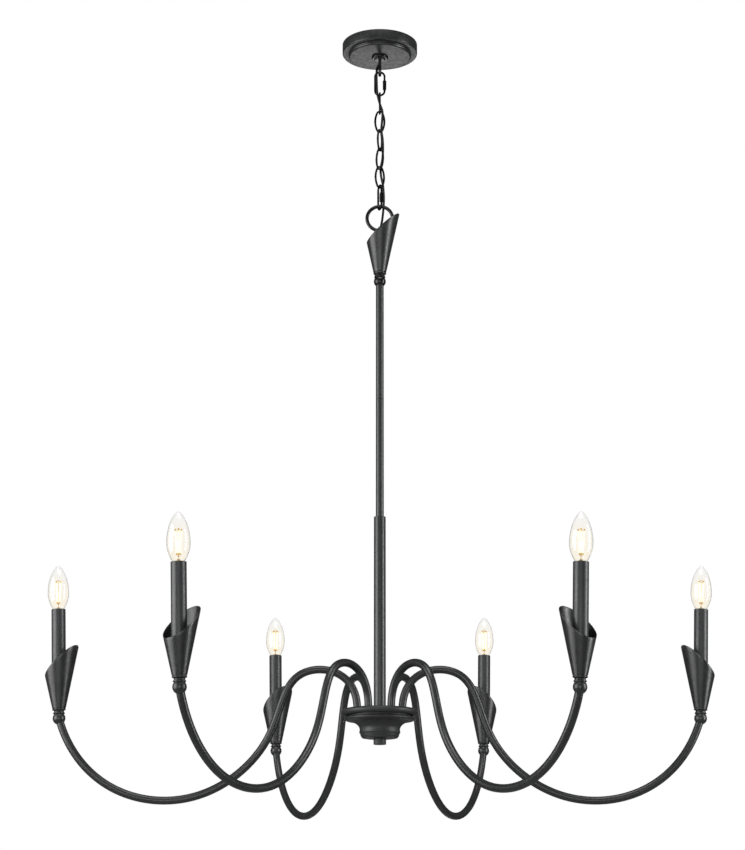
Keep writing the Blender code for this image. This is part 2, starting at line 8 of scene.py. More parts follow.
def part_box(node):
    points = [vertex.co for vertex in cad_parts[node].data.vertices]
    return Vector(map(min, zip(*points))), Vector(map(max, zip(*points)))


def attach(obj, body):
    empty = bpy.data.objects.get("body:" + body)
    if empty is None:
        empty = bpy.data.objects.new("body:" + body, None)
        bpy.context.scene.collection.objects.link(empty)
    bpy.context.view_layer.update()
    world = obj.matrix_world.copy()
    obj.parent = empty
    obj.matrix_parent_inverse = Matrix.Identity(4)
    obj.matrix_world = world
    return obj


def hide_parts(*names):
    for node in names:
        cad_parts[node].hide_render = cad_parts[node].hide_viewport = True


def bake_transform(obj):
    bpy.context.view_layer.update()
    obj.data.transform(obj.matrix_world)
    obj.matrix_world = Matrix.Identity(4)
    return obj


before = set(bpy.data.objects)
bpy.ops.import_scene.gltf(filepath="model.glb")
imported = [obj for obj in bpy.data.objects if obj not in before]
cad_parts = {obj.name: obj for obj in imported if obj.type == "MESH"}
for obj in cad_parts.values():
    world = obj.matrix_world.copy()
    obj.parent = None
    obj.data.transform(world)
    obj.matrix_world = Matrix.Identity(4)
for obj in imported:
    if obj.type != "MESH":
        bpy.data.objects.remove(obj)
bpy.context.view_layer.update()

# Metres, +Z up. The origin is where the fixture's axis meets the ceiling, +X is right and -Y is the front.
GAP = 0.0003  # clearance between pieces that touch
SHEET = 0.0012  # wall of the pressed and rolled sheet pieces

# Canopy and collar
CANOPY_RADIUS, CANOPY_WALL_HEIGHT = 0.0658, 0.0180
CANOPY_STEP_RADIUS, CANOPY_DISC_RADIUS, CANOPY_DEPTH = 0.0548, 0.0520, 0.0236
CROSSBAR_SLOT_X = 0.0340
NIPPLE_RADIUS, NIPPLE_BORE, NIPPLE_END_Z = 0.0048, 0.0033, -0.0245
BARREL_RADIUS, BARREL_TOP_Z, BARREL_BOTTOM_Z = 0.0098, -0.0120, -0.0293
NUT_RADIUS, NUT_HEIGHT = 0.0147, 0.0032
LOOP_WIRE, LOOP_HALF_WIDTH, LOOP_BOTTOM_Z = 0.00275, 0.0068, -0.05675

# Chain: lengths and widths are of a link's centre line
CHAIN_WIRE = 0.0018
QUICK_LINK_LENGTH, QUICK_LINK_HALF_WIDTH, QUICK_LINK_YAWS = 0.0437, 0.0083, (0.0, -70.0)
SLEEVE_TOP, SLEEVE_LENGTH, SLEEVE_RADIUS = -0.0160, 0.0172, 0.0036
LINK_LENGTH, LINK_HALF_WIDTH, LINK_END_RADIUS = 0.0384, 0.0080, 0.0050
LINK_YAWS = (90.0, 0.0, 64.0, -44.0, 24.0)
RING_RADIUS, RING_WIRE = 0.0220, 0.0030

# Downrods, column and hub
TOP_BALL_Z = -0.4393
ROD_RADIUS, ROD_SEAM_Z = 0.0067, -0.6484
COLUMN_RADIUS, COLUMN_TOP_Z, ROD_IN_COLUMN = 0.0098, -0.8503, 0.020
HUB_Z = -1.1690  # top face of the hub plate
PLATE_RADIUS, PLATE_THICKNESS = 0.0629, 0.0100
FOOT_CIRCLE, FOOT_DEPTH = 0.0366, 0.0150
FINIAL_RADIUS, FINIAL_TOP, FINIAL_BOTTOM = 0.0102, -0.0478, -0.0565

# Arms: a cubic B-spline in the arm's own vertical plane, from the hub to the coupling's ball
ARM_RADIUS = 0.00635
ARM_GUIDE = ((0.0, 0.0), (0.0, 0.0637), (0.1217, 0.0850), (0.1241, -0.0530),
             (0.2465, -0.1583), (0.4021, -0.1455), (0.4670, -0.0674), (0.4825, -0.0179))
ARM_END_SETBACK = 0.003
CANDLE_LEAN = 2.98  # degrees outward
# In degrees: an arm's place on the hub, the way it reaches, how far its end lifts, and how its cup turns
ARMS = {
    "right": (0.0, 0.0, 0.42, 14.0), "left": (180.0, 180.0, 0.42, -14.0),
    "front_right": (-60.0, -56.85, 0.0, 10.0), "front_left": (-120.0, -123.15, 0.0, -10.0),
    "rear_right": (60.0, 68.90, -0.42, -26.0), "rear_left": (120.0, 111.10, -0.42, 26.0),
}

# Candle: heights above the centre of the coupling's ball, along the candle's own axis
BALL_RADIUS, NECK_RADIUS, NECK_TOP = 0.0103, 0.0080, 0.0125
CUP_FLOOR, CUP_BASE_RADIUS, CUP_CONE_FOOT, CUP_SLOPE = 0.0128, 0.0110, 0.0165, 0.216
CANDLE_CUP_RIM, TOP_CUP_RIM = (0.0873, 0.89), (0.0905, 0.92)  # slanted plane: height on the axis, and slope
STEM_RADIUS, STEM_TOP = 0.0035, 0.0200
CANDLE_RADIUS, CANDLE_BORE, CANDLE_BOTTOM, CANDLE_TOP = 0.0115, 0.0105, 0.0272, 0.1780
HOLDER_RADIUS, HOLDER_BORE, HOLDER_BOTTOM, HOLDER_TOP = 0.0088, 0.0066, 0.1500, 0.1725
BULB_BOTTOM, BULB_TOP, BULB_WIDEST, BULB_RADIUS = 0.1560, 0.2504, 0.2050, 0.0173
BULB_NECK, BULB_NECK_RADIUS, BULB_TIP_RADIUS, GLASS_WALL = 0.1757, 0.0066, 0.0048, 0.0010
HOLDER_SEAT, SCREW_LOW, INSULATOR_LOW = BULB_BOTTOM - GAP - 0.0010, BULB_BOTTOM + 0.0028, BULB_BOTTOM + 0.0008
FILAMENTS, FILAMENT_LOW, FILAMENT_TOP, FILAMENT_SPREAD = 4, 0.1900, 0.2226, (0.0026, 0.0044)
FILAMENT_RADIUS, CLIP_RADIUS, FINE_WIRE, MAST_WIRE, GLASS_STEM_TIP = 0.00065, 0.0010, 0.00022, 0.00025, 0.1844
THREAD_PITCH = 0.00254  # of the bulb's screw base and of the shell that it turns in

# Supply cord: radius and its route, down through the nipple, beside the links and into the top cup
CORD_RADIUS = 0.0020
CORD_ROUTE = (
    (0.0000, 0.0000, -0.0060), (0.0000, 0.0000, -0.0200), (-0.0003, 0.0000, -0.0330),
    (-0.0035, -0.0010, -0.0420), (-0.0056, -0.0046, -0.0530), (-0.0054, -0.0048, -0.0740),
    (-0.0044, -0.0044, -0.0936), (-0.0005, -0.0020, -0.1105), (0.0045, -0.0043, -0.1281),
    (0.0040, -0.0050, -0.1450), (0.0028, -0.0046, -0.1626), (0.0050, -0.0024, -0.1800),
    (0.0056, 0.0010, -0.1971), (0.0044, 0.0040, -0.2140), (0.0014, 0.0054, -0.2316),
    (0.0026, 0.0012, -0.2485), (0.0056, -0.0028, -0.2661), (0.0070, 0.0022, -0.2860),
    (0.0062, 0.0064, -0.3052), (0.0042, 0.0074, -0.3240), (0.0002, 0.0072, -0.3480),
    (-0.0004, 0.0068, -0.3760), (0.0000, 0.0064, -0.4080),
)


# ---------------------------------------------------------------- shapes

def arc(centre, radius, start, end, steps):
    """Points of an arc in (radius, height), angles in degrees from +X towards +Z."""
    angles = np.radians(np.linspace(start, end, steps + 1))
    return [(centre[0] + radius * math.cos(a), centre[1] + radius * math.sin(a)) for a in angles]


def turned(outline, steps=64, closed=False, ripple=None):
    """Vertices and faces of an outline turned about Z. It runs down the outer side; a closed one is a ring.

    A point is (radius, height), or (radius, height, share) where share says how much ripple it takes.
    """
    vertices, rings = [], []
    for radius, height, *share in outline:
        if radius < 1e-6:
            rings.append([len(vertices)])
            vertices.append((0.0, 0.0, height))
            continue
        rings.append(list(range(len(vertices), len(vertices) + steps)))
        for k in range(steps):
            angle = math.tau * k / steps
            reach = radius + (share[0] * ripple(angle, height) if share and ripple else 0.0)
            vertices.append((reach * math.cos(angle), reach * math.sin(angle), height))
    faces = []
    for upper, lower in zip(rings, rings[1:] + (rings[:1] if closed else [])):
        for i in range(steps):
            j = (i + 1) % steps
            if len(upper) > 1 and len(lower) > 1:
                faces.append((upper[i], lower[i], lower[j], upper[j]))
            elif len(lower) > 1:
                faces.append((upper[0], lower[i], lower[j]))
            elif len(upper) > 1:
                faces.append((upper[i], lower[0], upper[j]))
    return vertices, faces


def swept(points, radius, sides=16, cyclic=False, normal=None):
    """Vertices and faces of a round wire along points. radius is a number, or one for each point."""
    line = np.array(points, float)
    count = len(line)
    radii = np.broadcast_to(np.array(radius, float), count)
    if cyclic:
        tangents = np.roll(line, -1, 0) - np.roll(line, 1, 0)
    else:
        tangents = np.gradient(line, axis=0)
    tangents /= np.linalg.norm(tangents, axis=1)[:, None]
    across = np.array(normal if normal is not None else Vector(tangents[0]).orthogonal(), float)
    vertices = []
    for centre, tangent, thick in zip(line, tangents, radii):
        across = across - tangent * (across @ tangent)
        across /= np.linalg.norm(across)
        other = np.cross(tangent, across)
        for k in range(sides):
            angle = math.tau * k / sides
            vertices.append(tuple(centre + thick * (across * math.cos(angle) + other * math.sin(angle))))
    faces = []
    for i in range(count if cyclic else count - 1):
        here, there = i * sides, ((i + 1) % count) * sides
        for k in range(sides):
            following = (k + 1) % sides
            faces.append((here + k, here + following, there + following, there + k))
    if not cyclic:
        faces.append(tuple(reversed(range(sides))))
        faces.append(tuple(range((count - 1) * sides, count * sides)))
    return vertices, faces


def joined(*shapes):
    """Several shapes as one list of vertices and one of faces."""
    vertices, faces = [], []
    for more_vertices, more_faces in shapes:
        start = len(vertices)
        vertices += more_vertices
        faces += [tuple(start + i for i in face) for face in more_faces]
    return vertices, faces


def smooth_route(route, count):
    """A Catmull-Rom curve through the route's points, sampled evenly by length."""
    points = np.array(route, float)
    padded = np.vstack([2 * points[0] - points[1], points, 2 * points[-1] - points[-2]])
    dense = []
    for p0, p1, p2, p3 in zip(padded, padded[1:], padded[2:], padded[3:]):
        for t in np.linspace(0, 1, 24, endpoint=False):
            dense.append(0.5 * (2 * p1 + (p2 - p0) * t + (2 * p0 - 5 * p1 + 4 * p2 - p3) * t ** 2
                                + (3 * p1 - p0 - 3 * p2 + p3) * t ** 3))
    dense = np.array(dense + [points[-1]])
    run = np.concatenate([[0], np.cumsum(np.linalg.norm(np.diff(dense, axis=0), axis=1))])
    even = np.linspace(0, run[-1], count)
    return np.column_stack([np.interp(even, run, dense[:, axis]) for axis in range(3)])


def bspline(points, amounts):
    """Points of the clamped uniform cubic B-spline with the given control points, at amounts from 0 to 1."""
    points = np.array(points, float)
    spans = len(points) - 3
    knots = np.concatenate([np.zeros(3), np.linspace(0, 1, spans + 1), np.ones(3)])
    result = []
    for t in amounts:
        k = min(int(t * spans), spans - 1) + 3
        d = [points[j + k - 3] for j in range(4)]
        for level in range(1, 4):
            for j in range(3, level - 1, -1):
                low, high = knots[j + k - 3], knots[j + 1 + k - level]
                d[j] = d[j - 1] + (d[j] - d[j - 1]) * (t - low) / (high - low)
        result.append(d[3])
    return np.array(result)


def turn_about(axis, degrees):
    """A rotation about X, Y or Z."""
    return Matrix.Rotation(math.radians(degrees), 4, axis)


def piece(name, shape, material, body, stands_for=(), place=None, sharp=35.0):
    """Make an object of a shape, put it in its place, and let it ride on its body, if it has just one."""
    vertices, faces = shape
    mesh = bpy.data.meshes.new(name)
    mesh.from_pydata(vertices, [], faces)
    mesh.validate()
    mesh.shade_smooth()
    mesh.set_sharp_from_angle(angle=math.radians(sharp))
    mesh.materials.append(material)
    obj = bpy.data.objects.new(name, mesh)
    bpy.context.scene.collection.objects.link(obj)
    if place is not None:
        obj.matrix_world = place
    if body:
        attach(obj, body)
    if stands_for:
        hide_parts(*([stands_for] if isinstance(stands_for, str) else stands_for))
    return obj


# ---------------------------------------------------------------- materials

class Finish:
    """A Principled material and short ways to add the nodes that vary it over the surface."""

    def __init__(self, name, colour, roughness, metallic=0.0):
        self.material = bpy.data.materials.new(name)
        self.material.use_nodes = True
        self.tree = self.material.node_tree
        self.shader = self.tree.nodes["Principled BSDF"]
        self.shader.inputs["Base Color"].default_value = (*colour, 1.0)
        self.shader.inputs["Roughness"].default_value = roughness
        self.shader.inputs["Metallic"].default_value = metallic

    def node(self, kind, **settings):
        made = self.tree.nodes.new(kind)
        for key, value in settings.items():
            setattr(made, key, value)
        return made

    def link(self, source, target):
        self.tree.links.new(source, target)

    def coordinates(self, stretch=(1, 1, 1)):
        where = self.node("ShaderNodeTexCoord")
        mapping = self.node("ShaderNodeMapping")
        mapping.inputs["Scale"].default_value = stretch
        self.link(where.outputs["Object"], mapping.inputs["Vector"])
        return mapping.outputs["Vector"]

    def noise(self, scale, detail=3.0, stretch=(1, 1, 1)):
        noise = self.node("ShaderNodeTexNoise")
        noise.inputs["Scale"].default_value = scale
        noise.inputs["Detail"].default_value = detail
        self.link(self.coordinates(stretch), noise.inputs["Vector"])
        return noise.outputs["Fac"]

    def ranged(self, value, low, high, start=0.3, end=0.7):
        ranged = self.node("ShaderNodeMapRange")
        ranged.inputs["From Min"].default_value = start
        ranged.inputs["From Max"].default_value = end
        ranged.inputs["To Min"].default_value = low
        ranged.inputs["To Max"].default_value = high
        self.link(value, ranged.inputs["Value"])
        return ranged.outputs["Result"]

    def between(self, value, first, second):
        """A colour between two, by value."""
        mix = self.node("ShaderNodeMix", data_type="RGBA")
        mix.inputs["A"].default_value = (*first, 1.0)
        mix.inputs["B"].default_value = (*second, 1.0)
        self.link(value, mix.inputs["Factor"])
        return mix.outputs["Result"]

    def vary_colour(self, value, first, second, start=0.3, end=0.7):
        self.link(self.between(self.ranged(value, 0, 1, start, end), first, second),
                  self.shader.inputs["Base Color"])

    def vary_roughness(self, value, low, high):
        self.link(self.ranged(value, low, high), self.shader.inputs["Roughness"])

    def bump(self, height, strength, distance):
        bump = self.node("ShaderNodeBump")
        bump.inputs["Strength"].default_value = strength
        bump.inputs["Distance"].default_value = distance
        self.link(height, bump.inputs["Height"])
        self.link(bump.outputs["Normal"], self.shader.inputs["Normal"])


COAT_BLACK, ENAMEL_ROUGHNESS, ENAMEL_GRAIN = (0.011, 0.0115, 0.012), (0.16, 0.26), 0.05


def coated_steel(name, dark, light, roughness, grain, specular=0.5):
    """Black coating on steel: a soft mottle, a fine orange peel, and edges rubbed a little lighter."""
    finish = Finish(name, dark, roughness[0])
    finish.shader.inputs["Specular IOR Level"].default_value = specular
    mottle = finish.ranged(finish.noise(28.0, 4.0), 0.0, 0.55)
    edge = finish.node("ShaderNodeNewGeometry").outputs["Pointiness"]
    rubbed = finish.ranged(edge, 0.0, 0.45, 0.53, 0.62)
    total = finish.node("ShaderNodeMath", operation="ADD", use_clamp=True)
    finish.link(mottle, total.inputs[0])
    finish.link(rubbed, total.inputs[1])
    finish.link(finish.between(total.outputs[0], dark, light), finish.shader.inputs["Base Color"])
    finish.vary_roughness(finish.noise(160.0, 3.0), *roughness)
    finish.bump(finish.noise(1500.0, 2.0), grain, 0.0002)
    return finish.material


def satin_black():
    """The coat of the canopy, cups, rods and arms."""
    return coated_steel("satin_black_coat", COAT_BLACK, (0.024, 0.025, 0.026), (0.30, 0.40), 0.14)


def textured_black():
    """The hub's thicker, rougher powder coat."""
    return coated_steel("textured_black_coat", COAT_BLACK, (0.026, 0.027, 0.028), (0.46, 0.58), 0.35)


def gloss_black():
    """Smooth black enamel on the collar, the ring and the coupling above the rods."""
    return coated_steel("gloss_black_enamel", (0.006, 0.006, 0.007), (0.014, 0.014, 0.015),
                        ENAMEL_ROUGHNESS, ENAMEL_GRAIN, specular=0.30)


def chain_black():
    """The links' thin, darker enamel."""
    return coated_steel("chain_enamel", (0.003, 0.003, 0.004), (0.007, 0.007, 0.008),
                        ENAMEL_ROUGHNESS, ENAMEL_GRAIN, specular=0.10)


def zinc_plate():
    """Dull zinc with drawn marks."""
    finish = Finish("zinc_plate", (0.52, 0.53, 0.54), 0.35, metallic=1.0)
    finish.vary_colour(finish.noise(55.0, 5.0), (0.42, 0.43, 0.45), (0.62, 0.62, 0.62))
    finish.vary_roughness(finish.noise(210.0), 0.26, 0.44)
    finish.bump(finish.noise(700.0, 2.0, (1, 12, 12)), 0.10, 0.0002)
    return finish.material


def sleeve_black():
    """Candle sleeve: matte black, with the faint lengthwise drag of its coating."""
    finish = Finish("candle_sleeve_black", (0.022, 0.023, 0.024), 0.38)
    finish.vary_colour(finish.noise(90.0, 3.0, (1, 1, 0.1)), (0.019, 0.020, 0.021), (0.030, 0.031, 0.032))
    finish.vary_roughness(finish.noise(240.0, 3.0, (1, 1, 0.15)), 0.34, 0.44)
    finish.bump(finish.noise(1100.0, 2.0, (1, 1, 0.3)), 0.10, 0.0002)
    return finish.material


def black_resin():
    """Moulded black resin of the lamp holders."""
    finish = Finish("socket_resin", (0.018, 0.018, 0.018), 0.45)
    finish.vary_roughness(finish.noise(300.0), 0.38, 0.55)
    finish.bump(finish.noise(1300.0, 2.0), 0.12, 0.0002)
    return finish.material


def cord_jacket():
    """Soft black jacket of the supply cord."""
    finish = Finish("cord_jacket", (0.006, 0.006, 0.007), 0.40)
    finish.shader.inputs["Specular IOR Level"].default_value = 0.25
    finish.vary_colour(finish.noise(120.0, 3.0), (0.005, 0.005, 0.006), (0.011, 0.011, 0.012))
    finish.vary_roughness(finish.noise(420.0), 0.34, 0.50)
    finish.bump(finish.noise(900.0, 2.0), 0.15, 0.0002)
    return finish.material


def brass():
    """Spun brass of the bulb bases and their shells."""
    finish = Finish("base_brass", (0.78, 0.60, 0.30), 0.28, metallic=1.0)
    finish.vary_colour(finish.noise(260.0, 4.0), (0.66, 0.48, 0.22), (0.86, 0.70, 0.40))
    finish.vary_roughness(finish.noise(500.0), 0.20, 0.38)
    finish.bump(finish.noise(1600.0, 2.0), 0.06, 0.0001)
    return finish.material


def gold_wire():
    """Thin gold-coloured wires and clips in a bulb."""
    finish = Finish("support_wire", (0.56, 0.38, 0.12), 0.25, metallic=1.0)
    finish.vary_colour(finish.noise(900.0, 2.0), (0.44, 0.29, 0.08), (0.68, 0.47, 0.18))
    return finish.material


def clear_glass():
    """Blown clear glass, with a faint warm painted glow round the filaments and painted grey shade where it
    is seen edge on.
    """
    finish = Finish("clear_glass", (1.0, 1.0, 1.0), 0.0)
    finish.shader.inputs["Transmission Weight"].default_value = 1.0
    finish.shader.inputs["IOR"].default_value = 1.5
    split = finish.node("ShaderNodeSeparateXYZ")
    finish.link(finish.coordinates(), split.inputs["Vector"])
    # painted glow: the glass is tinted faintly warm low down, round the lit filaments, and neutral towards
    # its tip
    painted_glow_ramp = finish.node("ShaderNodeValToRGB")
    painted_glow_ramp.color_ramp.elements.new(0.5)
    low, middle, top = (1.0, 0.97, 0.90), (1.0, 0.975, 0.92), (0.985, 0.985, 0.985)
    for element, colour in zip(painted_glow_ramp.color_ramp.elements, (low, middle, top)):
        element.color = (*colour, 1.0)
    finish.link(finish.ranged(split.outputs["Z"], 0, 1, CANDLE_TOP, BULB_TOP), painted_glow_ramp.inputs["Fac"])
    # painted shade: the glass colour turns dark grey where it is seen edge on, in place of the dark
    # reflections at its outline
    edge = finish.node("ShaderNodeLayerWeight")
    mix = finish.node("ShaderNodeMix", data_type="RGBA")
    mix.inputs["B"].default_value = (0.16, 0.16, 0.18, 1.0)
    finish.link(finish.ranged(edge.outputs["Facing"], 0, 1, 0.66, 1.0), mix.inputs["Factor"])
    finish.link(painted_glow_ramp.outputs["Color"], mix.inputs["A"])
    finish.link(mix.outputs["Result"], finish.shader.inputs["Base Color"])
    return finish.material


def clear_stem():
    """The thicker glass of a bulb's inner stem."""
    finish = Finish("stem_glass", (0.97, 0.97, 0.96), 0.05)
    finish.shader.inputs["Transmission Weight"].default_value = 1.0
    finish.shader.inputs["IOR"].default_value = 1.45
    finish.vary_roughness(finish.noise(300.0), 0.02, 0.10)
    return finish.material


def glowing_phosphor():
    """The coating of an LED filament, glowing in a colour that varies at random over it."""
    finish = Finish("lit_phosphor", (1.0, 0.75, 0.30), 0.6)
    glow = finish.between(finish.ranged(finish.noise(420.0, 2.0), 0, 1), (1.0, 0.74, 0.34), (1.0, 0.84, 0.50))
    finish.link(glow, finish.shader.inputs["Emission Color"])
    finish.shader.inputs["Emission Strength"].default_value = 1.5
    return finish.material


# ---------------------------------------------------------------- ceiling mount, canopy and collar

def helix_ripple(pitch, depth):
    """A screw thread's ripple: in and out along the height, shifted by one pitch a turn."""
    def ripple(angle, height):
        return depth * math.cos(math.tau * (height / pitch - angle / math.tau))
    return ripple


def hexagon(corner):
    """A ripple that cuts a round of the given radius to a hexagon."""
    def ripple(angle, height):
        within = (angle + math.pi / 6) % (math.pi / 3) - math.pi / 6
        return corner * (math.cos(math.pi / 6) / math.cos(within) - 1) if abs(within) < math.pi / 6 else 0.0
    return ripple


def threaded(radius, top, bottom, pitch, rows_per_turn=8):
    """Rows of an outline, close enough to show a thread when they take a helix ripple."""
    rows = max(2, round((top - bottom) / pitch * rows_per_turn))
    return [(radius, top + (bottom - top) * k / rows, 1.0) for k in range(rows + 1)]


def ceiling_mount(zinc):
    """The crossbar with its slots, its two screws, and the threaded nipple with its lock nut."""
    low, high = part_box("ceiling_crossbar")
    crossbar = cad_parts["ceiling_crossbar"]
    crossbar.data.materials.clear()
    crossbar.data.materials.append(zinc)
    pitch, depth, lead_in, thread_top = 0.0010, 0.0002, 0.0005, -0.0012
    outline = [(NIPPLE_RADIUS - lead_in, high.z - GAP)]
    outline += threaded(NIPPLE_RADIUS - depth, thread_top, NIPPLE_END_Z + lead_in, pitch, 6)
    outline += [(NIPPLE_RADIUS - lead_in, NIPPLE_END_Z), (NIPPLE_BORE, NIPPLE_END_Z),
                (NIPPLE_BORE, high.z - GAP)]
    piece("mounting_nipple_thread", turned(outline, 40, closed=True, ripple=helix_ripple(pitch, depth)), zinc,
          "ceiling_mount", "mounting_nipple")
    under, corner, face, chamfer, nut_height = low.z - GAP, 0.0074, 0.0068, 0.0005, 0.0032
    bottom = under - nut_height
    nut = [(NIPPLE_RADIUS, under), (face, under), (corner, under - chamfer, 1.0),
           (corner, bottom + chamfer, 1.0), (face, bottom), (NIPPLE_RADIUS, bottom)]
    piece("nipple_lock_nut", turned(nut, 48, closed=True, ripple=hexagon(corner)), zinc,
          "ceiling_mount")
    head = [(0, under)] + arc((0.0022, under - 0.0012), 0.0016, 60, -80, 8) + [(0, under - 0.0029)]
    for side, x in (("left", -CROSSBAR_SLOT_X), ("right", CROSSBAR_SLOT_X)):
        piece(f"ceiling_screw_{side}", turned(head, 32), zinc, "ceiling_mount",
              place=Matrix.Translation((x, 0, 0)))


def canopy(black):
    """The stepped cover: a rolled top edge, a straight wall, a ledge, a rounded step and a flat disc."""
    edge, step = 0.0016, CANOPY_STEP_RADIUS - CANOPY_DISC_RADIUS
    low = -CANOPY_WALL_HEIGHT
    outer = arc((CANOPY_RADIUS - 0.0006, -0.0006), 0.0006, 90, 0, 4)
    outer += arc((CANOPY_RADIUS - edge, low + edge), edge, 0, -90, 8)
    outer += arc((CANOPY_STEP_RADIUS + 0.0008, low - 0.0008), 0.0008, 90, 180, 4)
    outer += arc((CANOPY_DISC_RADIUS, -CANOPY_DEPTH + step), step, 0, -90, 8)
    hole = BARREL_RADIUS + 0.0008
    outer += [(hole + 0.0003, -CANOPY_DEPTH), (hole, -CANOPY_DEPTH + 0.0003)]
    floor = -CANOPY_DEPTH + SHEET
    inner = [(hole, floor)] + arc((CANOPY_DISC_RADIUS, -CANOPY_DEPTH + step), step - SHEET, -90, 0, 6)
    inner += [(CANOPY_STEP_RADIUS - SHEET, low + SHEET)]
    inner += arc((CANOPY_RADIUS - edge, low + edge), edge - SHEET, -90, 0, 4)
    inner += [(CANOPY_RADIUS - SHEET, 0.0)]
    piece("canopy_cover", turned(outer + inner, 160, closed=True), black,
          "canopy_cover", "canopy")


def collar(gloss):
    """The knurled nut under the canopy, and the barrel with its loop."""
    top = -CANOPY_DEPTH - GAP
    inner, bottom = BARREL_RADIUS + GAP, -CANOPY_DEPTH - GAP - NUT_HEIGHT
    nut = [(inner, top), (NUT_RADIUS - 0.0005, top)]
    nut += [(NUT_RADIUS, top - 0.0005, 1.0), (NUT_RADIUS, top - 0.0013, 1.0)]
    nut += arc((NUT_RADIUS - 0.0020, bottom + 0.0018), 0.0018, 0, -90, 6)
    nut += [(inner + 0.0004, bottom), (inner, bottom + 0.0004)]
    knurls, knurl_depth = 56, 0.00012
    knurled = turned(nut, knurls * 4, closed=True,
                     ripple=lambda angle, _: knurl_depth * (math.cos(knurls * angle) - 1))
    piece("collar_nut_knurled", knurled, gloss, "canopy_nut", "collar_nut")

    cord_hole = CORD_RADIUS + 0.0005
    groove = BARREL_BOTTOM_Z + 0.0040
    barrel = [(BARREL_RADIUS - 0.0005, BARREL_TOP_Z), (BARREL_RADIUS, BARREL_TOP_Z - 0.0005)]
    barrel += [(BARREL_RADIUS, groove + 0.0008)] + arc((BARREL_RADIUS, groove + 0.0004), 0.0004, 90, 270, 6)
    barrel += [(BARREL_RADIUS, groove)]
    barrel += arc((BARREL_RADIUS - 0.0015, BARREL_BOTTOM_Z + 0.0015), 0.0015, 0, -90, 6)
    barrel += [(cord_hole + 0.0005, BARREL_BOTTOM_Z), (cord_hole, BARREL_BOTTOM_Z + 0.0005),
               (cord_hole, NIPPLE_END_Z - GAP), (NIPPLE_RADIUS + GAP, NIPPLE_END_Z - GAP),
               (NIPPLE_RADIUS + GAP, BARREL_TOP_Z)]
    piece("collar_barrel", turned(barrel, 72, closed=True), gloss, "ceiling_mount",
          "collar_loop")
    top_of_legs, mid_leg = BARREL_BOTTOM_Z + 0.0020, -0.0400
    bend = arc((0, LOOP_BOTTOM_Z + LOOP_HALF_WIDTH), LOOP_HALF_WIDTH, 0, -180, 28)
    legs = [(LOOP_HALF_WIDTH, top_of_legs), (LOOP_HALF_WIDTH, mid_leg)] + bend
    legs += [(-LOOP_HALF_WIDTH, mid_leg), (-LOOP_HALF_WIDTH, top_of_legs)]
    loop = swept([(0, y, z) for y, z in legs], LOOP_WIRE, 24, normal=(1, 0, 0))
    piece("collar_loop_wire", loop, gloss, "ceiling_mount", "collar_loop")


# ---------------------------------------------------------------- chain, ring and cord

def link_points(steps):
    """A link's centre line as (x, z): a pointed oval of two end arcs and two shallow side arcs."""
    reach = LINK_LENGTH / 2 - LINK_END_RADIUS
    end, half = LINK_END_RADIUS, LINK_HALF_WIDTH
    side = (half ** 2 + reach ** 2 - end ** 2) / (2 * (half - end))
    lean = math.degrees(math.atan2(reach, side - half))
    top = arc((0, reach), end, 90, lean, steps)
    flank = arc((half - side, 0), side, lean, -lean, 2 * steps)
    bottom = arc((0, -reach), end, -lean, -90, steps)
    right = top + flank[1:-1] + bottom
    left = [(-x, z) for x, z in reversed(right[1:-1])]
    return right + left


def chain_link():
    """A bent wire link, with the bead of its butt weld halfway down one side, and its ends a little worn."""
    line = link_points(14)
    weld_height, weld_swell, wear, worn_height = 0.0011, 0.00028, 0.00013, 0.0035
    end = LINK_LENGTH / 2
    radii = []
    for x, z in line:
        weld = weld_swell * math.exp(-(z / weld_height) ** 2) if x < 0 else 0.0
        radii.append(CHAIN_WIRE + weld - wear * math.exp(-((end - abs(z)) / worn_height) ** 2))
    return swept([(x, 0, z - end) for x, z in line], radii, 16, cyclic=True, normal=(0, 1, 0))


def quick_link():
    """The oval wire of a quick link, from its threaded end round to the end that the sleeve screws over."""
    half, length = QUICK_LINK_HALF_WIDTH, QUICK_LINK_LENGTH
    low = -length + half
    gap_top, gap_bottom, turns = -0.0268, -0.0318, 5
    thread_pitch = (0.0152 - half) / turns
    line = [(half, gap_top)] + [(half, gap_top + thread_pitch * k / 2) for k in range(1, 2 * turns)]
    radii = [CHAIN_WIRE - 0.0002 * (k % 2) for k in range(len(line))]
    rest = arc((0, -half), half, 0, 180, 32) + arc((0, low), half, 180, 360, 32) + [(half, gap_bottom)]
    line += rest
    radii += [CHAIN_WIRE] * len(rest)
    return swept([(x, 0, z) for x, z in line], radii, 16, normal=(0, 1, 0))


def hex_sleeve():
    """The quick link's hexagonal nut: chamfered ends, and a plain collar at the top."""
    bore, low = CHAIN_WIRE + GAP, SLEEVE_TOP - SLEEVE_LENGTH
    chamfer = 0.0009
    outline = [(SLEEVE_RADIUS - 0.0011, SLEEVE_TOP), (SLEEVE_RADIUS - 0.0004, SLEEVE_TOP - 0.0006),
               (SLEEVE_RADIUS - 0.0004, SLEEVE_TOP - 0.0040), (SLEEVE_RADIUS - 0.0002, SLEEVE_TOP - 0.0044),
               (SLEEVE_RADIUS, SLEEVE_TOP - 0.0048, 1.0), (SLEEVE_RADIUS, low + chamfer, 1.0),
               (SLEEVE_RADIUS - chamfer, low), (bore, low), (bore, SLEEVE_TOP)]
    return turned(outline, 48, closed=True, ripple=hexagon(SLEEVE_RADIUS))


